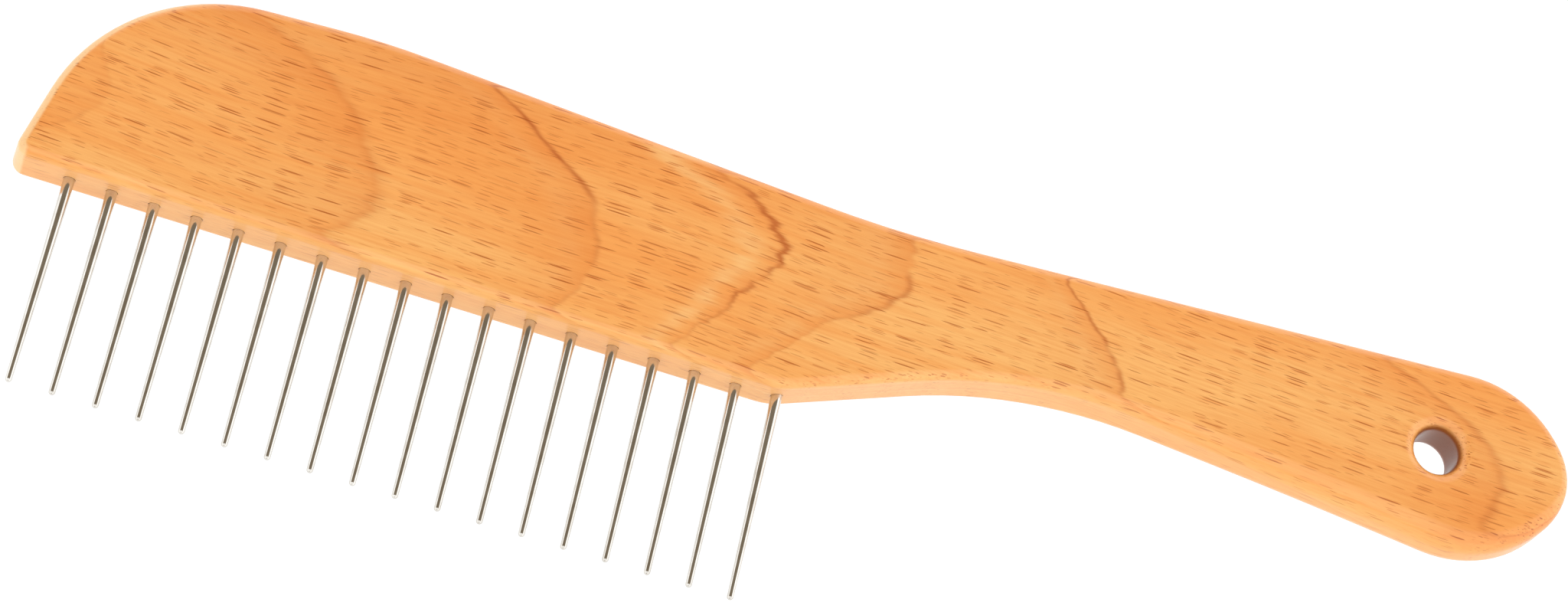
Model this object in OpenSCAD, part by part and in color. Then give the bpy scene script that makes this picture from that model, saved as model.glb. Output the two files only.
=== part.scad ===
// Long-handled pin comb: a flat wooden back with a row of tapered steel pins.
// It lies on its back face side: +X runs toward the handle end, -Y toward the
// pin tips and +Z through the thickness. The origin is the middle of the
// hanging hole. Both faces are alike.

/* [Pins] */
// number of steel pins in the row
pin_count = 18; // [10:1:18]
// distance from one pin to the next, mm
pin_pitch = 7.0; // [5:0.5:7]
// length of a pin outside the wood, mm
pin_reach = 36.2; // [20:0.2:60]
// diameter of a pin where it leaves the wood, mm
pin_root_d = 1.9; // [1.5:0.1:3]
// diameter of a pin at the start of its rounded tip, mm
pin_tip_d = 1.1; // [0.8:0.1:1.4]
// depth of the blind hole that holds a pin, mm
socket_depth = 14; // [8:1:18]
// extra diameter of the blind hole over the pin, filled by glue, mm
glue_gap = 0.1; // [0.05:0.05:0.2]

/* [Wooden back] */
// thickness of the board, mm
board_t = 10; // [8:0.5:14]
// radius of the rounding along the edges of the board, mm
edge_r = 1.8; // [1:0.1:2.5]
// radius of the softer rounding along the underside of the grip, mm
grip_edge_r = 4.0; // [2.5:0.1:4.0]
// length from the far end of the head to the hanging hole, mm
head_to_hole = 240; // [236:1:250]
// distance from the hanging hole down to the pin edge of the head, mm
pin_edge_drop = 25; // [24:0.5:27]

/* [Hanging hole] */
// diameter of the hole, mm
hole_d = 8; // [6:0.5:10]
// radius of the rounding at both rims of the hole, mm
rim_r = 2.4; // [1.5:0.1:2.6]

/* [Hidden] */
pin_edge_y = -pin_edge_drop;
first_pin_x = -head_to_hole + 10;
socket_d = pin_root_d + glue_gap;
hole_r = hole_d / 2;
cut_past = 1;
grip_start_x = -75;     // the underside edge begins to soften here
grip_soft_x = -15;      // and has its full rounding from here on

// corners of the board before rounding: [x, y, corner radius], anticlockwise
board_corners = [
    [-head_to_hole, pin_edge_y, edge_r + 0.4],  // foot of the head
    [-111.5, pin_edge_y, 12],           // end of the pin edge
    [-70, -8.5, 85],                    // underside of the waist
    [13, -17.2, 21],                    // lower corner of the handle end
    [27.5, 0, 12],                      // nose of the handle end
    [13.5, 16, 20],                     // upper corner of the handle end
    [-97.5, 8.5, 220],                  // top of the waist
    [-188, 13.5, 136],                  // crest of the head
    [-head_to_hole + 8.5, 11, 32]       // rounded shoulder of the head
];
chord_error = 0.02;
stretch_step = 8;
rounding_steps = 8;
rim_steps = 8;
tip_steps = 6;
curve_sides = 48;

function unit(v) = v / norm(v);
function turn(v) = atan2(v[1], v[0]);
function ray(a) = [cos(a), sin(a)];
function wrap(a) = a > 180 ? a - 360 : a < -180 ? a + 360 : a;
function xy(c) = [c[0], c[1]];

// one rounded corner as a list of [point, outward direction]
function corner_arc(before, corner, after) =
    let (
        here = xy(corner), r = corner[2],
        a = unit(xy(before) - here), b = unit(xy(after) - here),
        half = acos(a * b) / 2,
        centre = here + unit(a + b) * r / sin(half),
        first = turn(here + a * r / tan(half) - centre),
        last = turn(here + b * r / tan(half) - centre),
        sweep = wrap(last - first),
        steps = ceil(abs(sweep) / (2 * acos(1 - chord_error / r))),
        side = sweep > 0 ? 1 : -1
    )
    [for (i = [0 : steps]) let (d = ray(first + sweep * i / steps)) [centre + d * r, d * side]];

// straight stretch from the last point of one arc to the first of the next
function stretch(from, to) =
    let (steps = ceil(norm(to[0] - from[0]) / stretch_step))
    [for (i = [1 : 1 : steps - 1]) [from[0] + (to[0] - from[0]) * i / steps, from[1]]];

corner_count = len(board_corners);
corner_arcs = [for (k = [0 : corner_count - 1]) corner_arc(
    board_corners[(k + corner_count - 1) % corner_count],
    board_corners[k],
    board_corners[(k + 1) % corner_count])];
board_outline = [for (k = [0 : corner_count - 1])
    let (arc = corner_arcs[k], next = corner_arcs[(k + 1) % corner_count])
    each concat(arc, stretch(arc[len(arc) - 1], next[0]))];

// goes smoothly from 0 to 1 as x goes from a to b
function ramp(x, a, b) = let (t = min(1, max(0, (x - a) / (b - a)))) t * t * (3 - 2 * t);

// radius of the edge rounding at one outline point [point, outward direction]
function rounding_at(p) =
    edge_r + (grip_edge_r - edge_r) * max(0, -p[1][1]) * ramp(p[0][0], grip_start_x, grip_soft_x);

// angle round the edge and the face it belongs to, from the lower face up
edge_levels = [
    for (i = [0 : rounding_steps]) [90 * i / rounding_steps, -1],
    for (i = [rounding_steps : -1 : 0]) [90 * i / rounding_steps, 1]
];

// an outline point moved in and up to one level of the rounded edge
function edge_point(p, level) =
    let (r = rounding_at(p), a = level[0], q = p[0] - p[1] * r * (1 - sin(a)))
    [q[0], q[1], level[1] * (board_t / 2 - r * (1 - cos(a)))];

// triangles of a flat face between its lower edge, walked up from point i, and
// its upper edge, walked down from point j, until both reach the point "end"
function zip(points, i, j, end) =
    i == end || j == end ? [] :
    let (
        count = len(points),
        next_i = (i + 1) % count,
        next_j = (j + count - 1) % count,
        lower_first = points[next_i][0] < points[next_j][0]
    )
    next_i == next_j ? [[i, next_i, j]] :
    lower_first ? concat([[i, next_i, j]], zip(points, next_i, j, end)) :
    concat([[i, next_j, j]], zip(points, i, next_j, end));

// triangles of the whole flat face, from its left-most to its right-most point
function face_triangles(points) =
    let (
        count = len(points),
        along = [for (p = points) p[0]],
        start = search(min(along), along)[0],
        end = search(max(along), along)[0],
        below = (start + 1) % count,
        above = (start + count - 1) % count
    )
    concat([[start, below, above]], zip(points, below, above, end));

// the board with rounded edges, before any drilling
module rounded_board() {
    count = len(board_outline);
    last = len(edge_levels) - 1;
    rings = [for (level = edge_levels) [for (p = board_outline) edge_point(p, level)]];
    flat = face_triangles(rings[0]);
    top = [for (t = flat) [t[0], t[2], t[1]] + [1, 1, 1] * last * count];
    sides = [for (k = [0 : last - 1]) for (i = [0 : count - 1])
        let (j = (i + 1) % count, a = k * count, b = a + count)
        each [[a + i, b + i, b + j], [a + i, b + j, a + j]]];
    polyhedron(points = [for (ring = rings) each ring],
        faces = concat(flat, top, sides), convexity = 6);
}

// cutter for the hanging hole: straight bore with a rounded rim at each face
module hanging_hole() {
    cylinder(h = board_t + 2 * cut_past, r = hole_r, center = true, $fn = curve_sides);
    for (face = [0, 1]) mirror([0, 0, face]) translate([0, 0, board_t / 2 - rim_r])
        rotate_extrude($fn = curve_sides) polygon(concat(
            [[0, 0]],
            [for (i = [0 : rim_steps]) let (a = 90 * i / rim_steps)
                [hole_r + rim_r * (1 - cos(a)), rim_r * sin(a)]],
            [[hole_r + rim_r, rim_r + cut_past], [0, rim_r + cut_past]]));
}

// puts its children at pin number k with +Z along the pin toward the tip
module at_pin(k) {
    translate([first_pin_x + pin_pitch * (k - 1), pin_edge_y, 0])
        rotate([90, 0, 0]) children();
}

module wooden_back() {
    color([0.93, 0.66, 0.39]) difference() {
        rounded_board();
        hanging_hole();
        for (k = [1 : pin_count]) at_pin(k)
            translate([0, 0, -socket_depth])
                cylinder(h = socket_depth + cut_past, d = socket_d, $fn = curve_sides);
    }
}

// one pin: straight shank in the wood, taper outside it, rounded tip
module pin(k) {
    root_r = pin_root_d / 2;
    tip_r = pin_tip_d / 2;
    color([0.80, 0.80, 0.78]) at_pin(k) rotate_extrude($fn = curve_sides) polygon(concat(
        [[0, -socket_depth], [root_r, -socket_depth], [root_r, 0]],
        [for (i = [0 : tip_steps]) let (a = 90 * i / tip_steps)
            [tip_r * cos(a), pin_reach - tip_r + tip_r * sin(a)]]));
}

wooden_back();
for (k = [1 : pin_count])
    pin(k);
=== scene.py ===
"""Look of the long-handled pin comb: lacquered wood, polished steel pins, pale floor.

The frame is the CAD part's own, in metres: +X toward the handle end, -Y toward the
pin tips, +Z through the board, origin at the middle of the hanging hole.
"""

import math

import bpy
from mathutils import Matrix, Vector


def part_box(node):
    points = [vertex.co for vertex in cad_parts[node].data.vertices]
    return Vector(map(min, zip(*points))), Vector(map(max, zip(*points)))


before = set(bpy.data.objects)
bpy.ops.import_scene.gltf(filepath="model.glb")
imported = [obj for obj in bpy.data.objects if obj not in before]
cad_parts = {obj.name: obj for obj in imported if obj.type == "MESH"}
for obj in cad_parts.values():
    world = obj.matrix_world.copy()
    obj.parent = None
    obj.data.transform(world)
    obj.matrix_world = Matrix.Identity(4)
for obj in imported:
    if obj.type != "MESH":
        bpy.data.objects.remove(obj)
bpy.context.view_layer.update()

MM = 0.001
WELD_DISTANCE = 0.000002  # m
BOARD_CREASE, PIN_CREASE = 35, 50  # degrees between faces above which an edge stays sharp
BOARD = "wooden_back"
PINS = sorted(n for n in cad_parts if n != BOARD)
BOARD_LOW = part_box(BOARD)[0]

# ---------------------------------------------------------------- camera and light
LENS = 114.3  # mm, on a 36 mm wide sensor
SENSOR = 36.0
LOOK_AT = Vector((-113.2, -8.5, 0.0)) * MM
DISTANCE = 815.9 * MM
AZIMUTH = -20.2  # degrees, 0 looks along +Y
ELEVATION = 63.0  # degrees above the table
ROLL = 35.5  # degrees the picture is turned clockwise

FLOOR_HALF = 3.0  # m
FLOOR_COLOUR = (0.10, 0.10, 0.10, 1.0)
FLOOR_GLOW = 1.02  # the floor is lit from below, so it shows no shadow

SOFTBOX = 1.55  # brightness of the white sides of the studio
KEY = (1.30, 1.30, 1.30, 1.0)  # the softbox high on the -Y side
KEY_SIDE = (0.05, -0.20)  # directions' y where the softbox starts and is full
KEY_HEIGHT = (0.25, 0.50)  # directions' z where the softbox starts and is full
CEILING = (0.26, 0.21, 0.15, 1.0)  # the dark strip overhead, seen in the pins
CEILING_LEAN = -10.0  # degrees the strip is turned toward -X
CEILING_HALF = 47.0  # degrees from the middle of the strip to its edge
CEILING_SOFT = 8.0  # degrees over which its edge fades
CEILING_END = (0.56, 0.74)  # how far toward +Y (0 to 1) the strip fades into the wall


def srgb(r, g, b):
    """A colour given as 0-255 display values, as the linear values nodes want."""

    def linear(v):
        v /= 255.0
        return v / 12.92 if v <= 0.04045 else ((v + 0.055) / 1.055) ** 2.4

    return (linear(r), linear(g), linear(b), 1.0)


class Graph:
    """Short words for building a node tree."""

    def __init__(self, tree):
        self.tree = tree
        self.tree.nodes.clear()

    def add(self, kind, **settings):
        node = self.tree.nodes.new(kind)
        for name, value in settings.items():
            setattr(node, name, value)
        return node

    def put(self, socket, value):
        """Links a socket to another socket, or sets its value."""
        if isinstance(value, bpy.types.NodeSocket):
            self.tree.links.new(value, socket)
        else:
            socket.default_value = value

    def math(self, operation, a, b=None, c=None, clamp=False):
        node = self.add("ShaderNodeMath", operation=operation, use_clamp=clamp)
        for socket, value in zip(node.inputs, (a, b, c)):
            if value is not None:
                self.put(socket, value)
        return node.outputs[0]

    def vector(self, x, y, z):
        node = self.add("ShaderNodeCombineXYZ")
        for socket, value in zip(node.inputs, (x, y, z)):
            self.put(socket, value)
        return node.outputs[0]

    def split(self, vector):
        node = self.add("ShaderNodeSeparateXYZ")
        self.put(node.inputs[0], vector)
        return node.outputs

    def noise(self, vector, scale, detail=2.0, roughness=0.5, dimensions="3D"):
        node = self.add("ShaderNodeTexNoise", noise_dimensions=dimensions)
        self.put(node.inputs["Vector"], vector)
        node.inputs["Scale"].default_value = scale
        node.inputs["Detail"].default_value = detail
        node.inputs["Roughness"].default_value = roughness
        return node.outputs["Fac"]

    def ramp(self, value, low, high, smooth=True, to_low=0.0, to_high=1.0):
        node = self.add(
            "ShaderNodeMapRange",
            interpolation_type="SMOOTHSTEP" if smooth else "LINEAR",
        )
        for socket, v in zip(node.inputs, (value, low, high, to_low, to_high)):
            self.put(socket, v)
        return node.outputs[0]

    def curve(self, value, points):
        """A smooth curve through (x, y) points; x and y lie between 0 and 1."""
        node = self.add("ShaderNodeFloatCurve")
        self.put(node.inputs["Value"], value)
        curve = node.mapping.curves[0]
        curve.points[0].location, curve.points[1].location = points[0], points[-1]
        for x, y in points[1:-1]:
            curve.points.new(x, y)
        node.mapping.update()
        return node.outputs[0]

    def bell(self, value, middle, half_width):
        """1 where the value is in the middle, fading to 0 on both sides."""
        near = self.math("DIVIDE", self.math("SUBTRACT", value, middle), half_width)
        return self.math("EXPONENT", self.math("MULTIPLY", self.math("MULTIPLY", near, near), -1.0))

    def mix(self, amount, a, b):
        """Colour a where the amount is 0, colour b where it is 1."""
        node = self.add("ShaderNodeMix", data_type="RGBA", blend_type="MIX")
        self.put(node.inputs[0], amount)
        self.put(node.inputs[6], a)
        self.put(node.inputs[7], b)
        return node.outputs[2]


def new_material(name):
    material = bpy.data.materials.new(name)
    material.use_nodes = True
    return material, Graph(material.node_tree)


def millimetres(g):
    """The object's own coordinates in mm: x, y and z."""
    scale = g.add("ShaderNodeVectorMath", operation="SCALE")
    g.put(scale.inputs[0], g.add("ShaderNodeTexCoord").outputs["Object"])
    scale.inputs["Scale"].default_value = 1.0 / MM
    return g.split(scale.outputs[0])


def finish_material(g, colour, bump, strength, distance, **shader_values):
    """Principled shader with a bump, to the material's output."""
    shader = g.add("ShaderNodeBsdfPrincipled")
    g.put(shader.inputs["Base Color"], colour)
    for name, value in shader_values.items():
        g.put(shader.inputs[name.replace("_", " ")], value)
    relief = g.add("ShaderNodeBump")
    relief.inputs["Strength"].default_value = strength
    relief.inputs["Distance"].default_value = distance
    g.put(relief.inputs["Height"], bump)
    g.put(shader.inputs["Normal"], relief.outputs[0])
    out = g.add("ShaderNodeOutputMaterial")
    g.put(out.inputs[0], shader.outputs[0])
    return shader


# ---------------------------------------------------------------- wood
# Growth rings where they cross the middle of the front face: place along X in mm,
# strength and length in mm of the dark zone on their left, strength and half width
# in mm of the dark line itself, how far in mm the line strays from a smooth curve,
# the y in mm below which the line fades, and the strength of a pale band beside it.
RINGS = [
    (-395, 0.5, 16, 0.2, 0.8, 2.0, -40, 0.0),
    (-352, 0.5, 14, 0.2, 0.8, 1.5, -40, 0.0),
    (-318, 0.4, 12, 0.2, 0.8, 2.0, -40, 0.0),
    (-276, 0.5, 14, 0.3, 0.8, 1.5, -40, 0.0),
    (-228, 0.40, 9, 0.55, 0.5, 1.0, 2, 0.0),
    (-183, 0.65, 15, 0.18, 1.4, 2.0, -30, 0.0),
    (-144, 0.68, 8, 0.85, 0.6, 1.0, -2, 0.2),
    (-116, 0.60, 3, 0.80, 0.7, 3.0, -14, 0.9),
    (-95, 0.70, 8, 0.50, 0.7, 2.0, -8, 0.3),
    (-58, 0.60, 7, 0.60, 0.6, 1.8, -30, 0.3),
    (13, 0.55, 10, 0.25, 1.0, 2.0, -30, 0.0),
]
PALE_BAND = (5.5, 2.3)  # mm from a ring to the middle of its pale band, and half width
RING_CURVE = 0.052  # 1/mm, how fast the arcs bend back on the face
RING_SLANT = 9.0  # mm along X that a ring moves for each mm of depth
FACE_Z = 5.0  # mm, the face on which the ring places are given
X_FROM, X_TO = -260.0, 40.0  # mm, span of the curve below
CENTRE_FROM, CENTRE_TO = -20.0, 10.0  # mm, what 0 and 1 of that curve stand for
# height of the arcs' noses across the board, along its length
ARC_CENTRES = [(-260, -6), (-181, -12), (-144, -9), (-116, -2), (-95, 4), (-56, -8), (40, -5)]

RING_WANDER = (0.055, 16.0)  # 1/mm and mm, the slow waver of the arcs
RING_JAG_SCALE = 0.45  # 1/mm, the small jags of a ring
RING_STEP = 0.8  # mm on each side of a ring over which its dark zone ends
LINE_BREAKS = (0.30, 0.58)  # values of a slow noise where a line is gone, and is whole
LINE_FADE = (-5.0, 4.0)  # mm round its fading height where a line is faint, and is whole
LINE_FAINT = 0.25  # strength left of a line below its fading height

GRAIN_LEAN = 2.5  # degrees the fibres run down toward the handle
GRAIN_WAVE = (0.012, 6.0)  # 1/mm and mm, the slow wave of the fibres
COARSE_PORES = {"length": 6.5, "width": 0.36, "keep": 0.85, "size": 0.42}  # mm, and shares
FINE_PORES = {"length": 4.0, "width": 0.27, "keep": 0.90, "size": 0.42}
FINE_SHIFT = 37.0  # mm, keeps the fine pores off the coarse ones
PORE_EDGE = 0.12  # softness of a pore's outline, as a share of its cell

WOOD_PALE = srgb(253, 190, 113)
WOOD_WARM = srgb(248, 163, 82)
WOOD_DARK = srgb(226, 120, 40)
WOOD_BAND = srgb(255, 210, 140)
# cream for the head's end: end grain and painted light
WOOD_LIT_CREAM = srgb(248, 214, 158)
# painted shade for the underside
WOOD_SHADED_SIDE = srgb(232, 168, 88)
RING_LINE = srgb(186, 88, 28)
PORE = srgb(178, 82, 14)
PORE_SOFT = srgb(204, 112, 44)
# painted shade for the hanging hole's bore
BORE_SHADE_BROWN = srgb(132, 62, 18)

# how much of each colour is mixed in where it is strongest
CREST_SHADE_AMOUNT = 0.42
BAND_AMOUNT = 0.60
ZONE_AMOUNT = 0.62
STREAK_AMOUNT = 0.50
FIBRE_AMOUNT = 0.30
FINE_AMOUNT = 0.75
COARSE_AMOUNT = 0.85
UNDERSIDE_SHADE_AMOUNT = 0.50
LIT_END_GRAIN_AMOUNT = 0.62
BORE_SHADE_AMOUNT = 0.9
BORE_FADE = (4.7, 4.05)  # mm from the hole's axis, where the painted shade starts and is full
HOLE_CLEAR = (7.0, 8.0)  # mm from the hole's axis, outside which edges turn pale with end grain and painted light


def ring_tone(g, x, y, z):
    """(dark zones beside the growth rings, dark ring lines, pale bands), all 0 to 1."""
    place = g.ramp(x, X_FROM, X_TO, smooth=False)
    points = [
        ((px - X_FROM) / (X_TO - X_FROM), (py - CENTRE_FROM) / (CENTRE_TO - CENTRE_FROM))
        for px, py in ARC_CENTRES
    ]
    centre = g.ramp(g.curve(place, points), 0.0, 1.0, False, CENTRE_FROM, CENTRE_TO)
    across = g.math("SUBTRACT", y, centre)
    bend = g.math("MULTIPLY", g.math("MULTIPLY", across, across), RING_CURVE)
    depth = g.math("MULTIPLY", g.math("SUBTRACT", z, FACE_Z), RING_SLANT)
    smooth = g.math("ADD", g.math("ADD", x, bend), depth)
    wander = g.noise(g.vector(g.math("MULTIPLY", x, 0.3), y, z), RING_WANDER[0], 1.0)
    smooth = g.math("MULTIPLY_ADD", g.math("SUBTRACT", wander, 0.5), RING_WANDER[1], smooth)
    jag = g.noise(g.vector(g.math("MULTIPLY", x, 0.15), y, z), RING_JAG_SCALE, 3.0, 0.6)
    jag = g.math("SUBTRACT", jag, 0.5)
    fade = g.noise(g.vector(g.math("MULTIPLY", x, 0.4), y, z), 0.16, 2.0)
    zone, line, pale = None, None, None
    for at, dark, reach, sharp, half_width, stray, fades_at, light in RINGS:
        strayed = g.math("MULTIPLY_ADD", jag, 2.0 * stray, smooth)
        left = g.math("SUBTRACT", float(at), strayed)
        inside = g.ramp(left, -RING_STEP, RING_STEP)
        tail = g.math("EXPONENT", g.math("DIVIDE", left, -float(reach)))
        tail = g.math("MULTIPLY", g.math("MINIMUM", tail, 1.0), inside)
        tail = g.math("MULTIPLY", tail, dark)
        mark = g.bell(left, 0.0, half_width)
        mark = g.math("MULTIPLY", mark, g.ramp(fade, *LINE_BREAKS, to_high=sharp))
        low, high = fades_at + LINE_FADE[0], fades_at + LINE_FADE[1]
        mark = g.math("MULTIPLY", mark, g.ramp(y, low, high, to_low=LINE_FAINT))
        zone = tail if zone is None else g.math("MAXIMUM", zone, tail)
        line = mark if line is None else g.math("MAXIMUM", line, mark)
        if light:
            band = g.math("MULTIPLY", g.bell(left, *PALE_BAND), light)
            pale = band if pale is None else g.math("MAXIMUM", pale, band)
    return zone, line, pale


def pore_layer(g, x, y, z, length, width, keep, size):
    """Short dark pores along the grain, 0 to 1, each with its own length and depth.

    length and width are the size in mm of the cell that may hold one pore, keep is the
    share of cells that do, and size is the largest pore's share of its cell.
    """
    cells = g.add("ShaderNodeTexVoronoi", feature="F1")
    cells.inputs["Scale"].default_value = 1.0
    g.put(
        cells.inputs["Vector"],
        g.vector(
            g.math("DIVIDE", x, length), g.math("DIVIDE", y, width), g.math("DIVIDE", z, width)
        ),
    )
    own = g.split(cells.outputs["Color"])
    radius = g.math("MULTIPLY", g.ramp(own[0], 1.0 - keep, 1.0), size)
    core = g.math("SUBTRACT", radius, cells.outputs["Distance"])
    mask = g.ramp(core, 0.0, PORE_EDGE)
    return g.math("MULTIPLY", mask, g.ramp(own[1], 0.0, 1.0, False, 0.35, 1.0))


def wood_material():
    material, g = new_material("lacquered_wood")
    x, y, z = millimetres(g)

    # coordinates along and across the fibres
    lean = math.tan(math.radians(GRAIN_LEAN))
    wave = g.noise(g.vector(x, g.math("MULTIPLY", y, 0.5), z), GRAIN_WAVE[0], 1.0)
    along = g.math("MULTIPLY_ADD", y, -lean, x)
    across = g.math("MULTIPLY_ADD", x, lean, y)
    across = g.math("MULTIPLY_ADD", g.math("SUBTRACT", wave, 0.5), GRAIN_WAVE[1], across)

    zone, line, pale = ring_tone(g, x, y, z)
    broad = g.noise(g.vector(g.math("MULTIPLY", x, 0.25), y, z), 0.06, 2.0)
    fibre = g.noise(g.vector(g.math("MULTIPLY", along, 0.04), across, z), 2.2, 3.0, 0.6)
    streak = g.noise(g.vector(g.math("MULTIPLY", along, 0.02), across, z), 0.5, 2.0)

    # body colour: warmer patches, painted shade along the top of the head, rings, streaks and
    # fibres
    colour = g.mix(g.ramp(broad, 0.30, 0.75), WOOD_PALE, WOOD_WARM)
    # painted shade: the top of the head is darkened toward WOOD_DARK, standing in for how light
    # falls on it
    crest_shade = g.math("MULTIPLY", g.ramp(y, -6.0, 14.0), g.ramp(x, -90.0, -190.0))
    colour = g.mix(g.math("MULTIPLY", crest_shade, CREST_SHADE_AMOUNT), colour, WOOD_DARK)
    colour = g.mix(g.math("MULTIPLY", pale, BAND_AMOUNT), colour, WOOD_BAND)
    colour = g.mix(g.math("MULTIPLY", zone, ZONE_AMOUNT), colour, WOOD_DARK)
    colour = g.mix(g.ramp(streak, 0.38, 0.72, to_high=STREAK_AMOUNT), colour, WOOD_WARM)
    colour = g.mix(g.ramp(fibre, 0.35, 0.72, to_high=FIBRE_AMOUNT), colour, WOOD_DARK)
    colour = g.mix(line, colour, RING_LINE)

    coarse = pore_layer(g, along, across, z, **COARSE_PORES)
    fine = pore_layer(g, g.math("ADD", along, FINE_SHIFT), across, z, **FINE_PORES)
    colour = g.mix(g.math("MULTIPLY", fine, FINE_AMOUNT), colour, PORE_SOFT)
    colour = g.mix(g.math("MULTIPLY", coarse, COARSE_AMOUNT), colour, PORE)

    # painted light and shade by which way the surface faces: painted shade on the underside, a
    # cream end band on the head that is partly end grain and partly painted light, and painted
    # shade in the bore
    facing = g.split(g.add("ShaderNodeNewGeometry").outputs["Normal"])
    sideways = g.ramp(g.math("ABSOLUTE", facing[2]), 0.985, 0.88)
    lit_end_grain = g.ramp(facing[0], -0.10, -0.40)
    from_hole = g.math("SQRT", g.math("MULTIPLY_ADD", x, x, g.math("MULTIPLY", y, y)))
    outside = g.ramp(from_hole, *HOLE_CLEAR)
    # painted shade: faces turned toward -Y are mixed toward the darker side tone
    under = g.math("MULTIPLY", sideways, g.ramp(facing[1], -0.60, -0.97))
    colour = g.mix(g.math("MULTIPLY", under, UNDERSIDE_SHADE_AMOUNT), colour, WOOD_SHADED_SIDE)
    # end grain and painted light: faces turned toward -X, away from the hole, are mixed toward
    # cream
    edge = g.math("MULTIPLY", sideways, g.math("MULTIPLY", lit_end_grain, LIT_END_GRAIN_AMOUNT))
    colour = g.mix(g.math("MULTIPLY", edge, outside), colour, WOOD_LIT_CREAM)
    # painted shade: the bore of the hanging hole is darkened brown, standing in for the shade
    # inside it
    bore = g.math("MULTIPLY", g.ramp(from_hole, *BORE_FADE), BORE_SHADE_AMOUNT)
    colour = g.mix(bore, colour, BORE_SHADE_BROWN)

    relief = g.math("MULTIPLY_ADD", fibre, 0.25, g.math("MULTIPLY", coarse, -1.0))
    roughness = g.ramp(broad, 0.2, 0.8, False, 0.36, 0.44)
    finish_material(
        g,
        colour,
        relief,
        strength=0.10,
        distance=0.00012,
        Roughness=roughness,
        Specular_IOR_Level=0.3,
        Coat_Weight=0.5,
        Coat_Roughness=0.14,
        Coat_IOR=1.5,
    )
    return material


# ---------------------------------------------------------------- steel
STEEL = (0.72, 0.70, 0.66, 1.0)
STEEL_DULL = (0.62, 0.59, 0.54, 1.0)


def steel_material():
    material, g = new_material("polished_steel")
    x, y, z = millimetres(g)
    drawn = g.noise(g.vector(g.math("MULTIPLY", x, 3.0), g.math("MULTIPLY", y, 0.08), z), 3.0)
    cloud = g.noise(g.vector(x, y, z), 0.35, 2.0)
    colour = g.mix(g.ramp(cloud, 0.35, 0.75), STEEL, STEEL_DULL)
    roughness = g.math("ADD", g.ramp(drawn, 0.3, 0.7, to_high=0.04), 0.10)
    finish_material(
        g,
        colour,
        drawn,
        strength=0.04,
        distance=0.00003,
        Metallic=1.0,
        Roughness=roughness,
    )
    return material


def floor_material():
    material, g = new_material("pale_floor")
    finish = finish_material(g, FLOOR_COLOUR, 0.0, 0.0, 0.001, Roughness=0.9)
    finish.inputs["Specular IOR Level"].default_value = 0.1
    finish.inputs["Emission Color"].default_value = (1.0, 1.0, 1.0, 1.0)
    finish.inputs["Emission Strength"].default_value = FLOOR_GLOW
    return material


# ---------------------------------------------------------------- objects
def smooth_by_angle(angle):
    """Geometry nodes that weld a mesh and smooth it, with sharp edges above an angle."""
    group = bpy.data.node_groups.new(f"smooth_{angle}", "GeometryNodeTree")
    group.is_modifier = True
    for way in ("INPUT", "OUTPUT"):
        group.interface.new_socket("Geometry", in_out=way, socket_type="NodeSocketGeometry")
    g = Graph(group)
    source = g.add("NodeGroupInput")
    weld = g.add("GeometryNodeMergeByDistance")
    g.put(weld.inputs["Geometry"], source.outputs[0])
    g.put(weld.inputs["Distance"], WELD_DISTANCE)
    faces = g.add("GeometryNodeSetShadeSmooth", domain="FACE")
    g.put(faces.inputs["Geometry"], weld.outputs[0])
    g.put(faces.inputs["Shade Smooth"], True)
    bend = g.add("GeometryNodeInputMeshEdgeAngle").outputs["Unsigned Angle"]
    edges = g.add("GeometryNodeSetShadeSmooth", domain="EDGE")
    g.put(edges.inputs["Geometry"], faces.outputs[0])
    g.put(edges.inputs["Selection"], g.math("GREATER_THAN", bend, math.radians(angle)))
    g.put(edges.inputs["Shade Smooth"], False)
    g.put(g.add("NodeGroupOutput").inputs[0], edges.outputs[0])
    return group


def shade(node, material, group):
    """Gives a CAD node its material and smooth shading that keeps its real edges."""
    for slot in node.material_slots:
        slot.material = material
    node.modifiers.new("smooth", "NODES").node_group = group
    normals = node.modifiers.new("normals", "WEIGHTED_NORMAL")
    normals.weight = 100
    normals.keep_sharp = True


def make_floor():
    z = BOARD_LOW.z
    corners = [
        (side_x * FLOOR_HALF, side_y * FLOOR_HALF, z)
        for side_x, side_y in ((-1, -1), (1, -1), (1, 1), (-1, 1))
    ]
    mesh = bpy.data.meshes.new("floor")
    mesh.from_pydata(corners, [], [(0, 1, 2, 3)])
    floor = bpy.data.objects.new("floor", mesh)
    floor.data.materials.append(floor_material())
    bpy.context.scene.collection.objects.link(floor)


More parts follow.
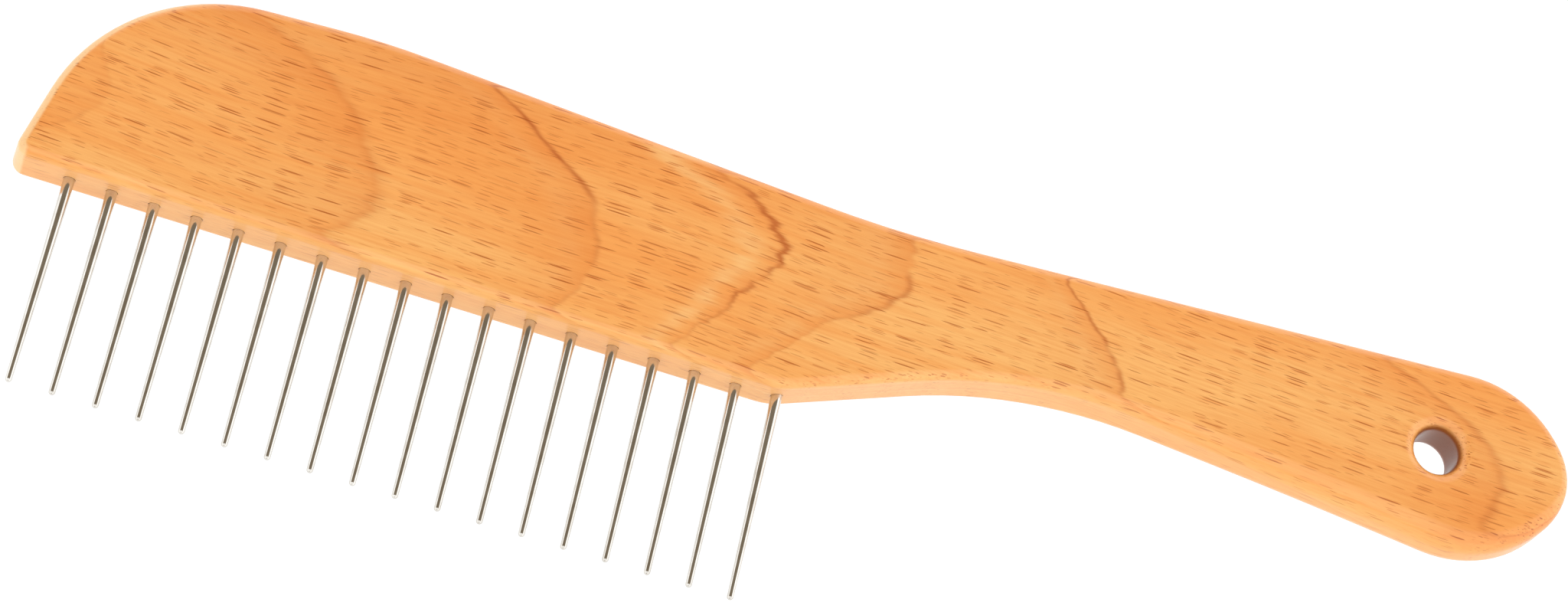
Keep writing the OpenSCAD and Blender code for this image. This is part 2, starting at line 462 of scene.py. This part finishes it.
def make_camera():
    a, e = math.radians(AZIMUTH), math.radians(ELEVATION)
    back = Vector((math.sin(a) * math.cos(e), -math.cos(a) * math.cos(e), math.sin(e)))
    data = bpy.data.cameras.new("camera")
    data.lens, data.sensor_width = LENS, SENSOR
    data.clip_start, data.clip_end = 0.01, 20.0
    camera = bpy.data.objects.new("camera", data)
    bpy.context.scene.collection.objects.link(camera)
    upright = (-back).to_track_quat("-Z", "Y").to_matrix()
    turned = upright @ Matrix.Rotation(math.radians(ROLL), 3, "Z")
    camera.matrix_world = Matrix.Translation(LOOK_AT + back * DISTANCE) @ turned.to_4x4()
    bpy.context.scene.camera = camera


def make_light():
    """White studio walls, a softbox high on the -Y side, and a dark strip overhead.

    The strip runs along the pins, which show it as the dark line down their middles.
    """
    world = bpy.data.worlds.new("studio")
    world.use_nodes = True
    bpy.context.scene.world = world
    g = Graph(world.node_tree)
    direction = g.add("ShaderNodeTexCoord").outputs["Generated"]
    x, y, z = g.split(direction)
    angle = g.math("DEGREES", g.math("ARCTAN2", x, z))
    off = g.math("ABSOLUTE", g.math("SUBTRACT", angle, CEILING_LEAN))
    low, high = CEILING_HALF - CEILING_SOFT, CEILING_HALF + CEILING_SOFT
    wall = g.math("MAXIMUM", g.ramp(off, low, high), g.ramp(y, *CEILING_END))
    colour = g.mix(wall, CEILING, (SOFTBOX, SOFTBOX, SOFTBOX, 1.0))
    key = g.math("MULTIPLY", g.ramp(y, *KEY_SIDE), g.ramp(z, *KEY_HEIGHT))
    colour = g.mix(key, colour, KEY)
    background = g.add("ShaderNodeBackground")
    g.put(background.inputs["Color"], colour)
    out = g.add("ShaderNodeOutputWorld")
    g.put(out.inputs[0], background.outputs[0])


def main():
    scene = bpy.context.scene
    scene.view_settings.view_transform = "Standard"
    wood, steel = wood_material(), steel_material()
    shade(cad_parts[BOARD], wood, smooth_by_angle(BOARD_CREASE))
    round_pins = smooth_by_angle(PIN_CREASE)
    for name in PINS:
        shade(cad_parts[name], steel, round_pins)
    make_floor()
    make_camera()
    make_light()


main()
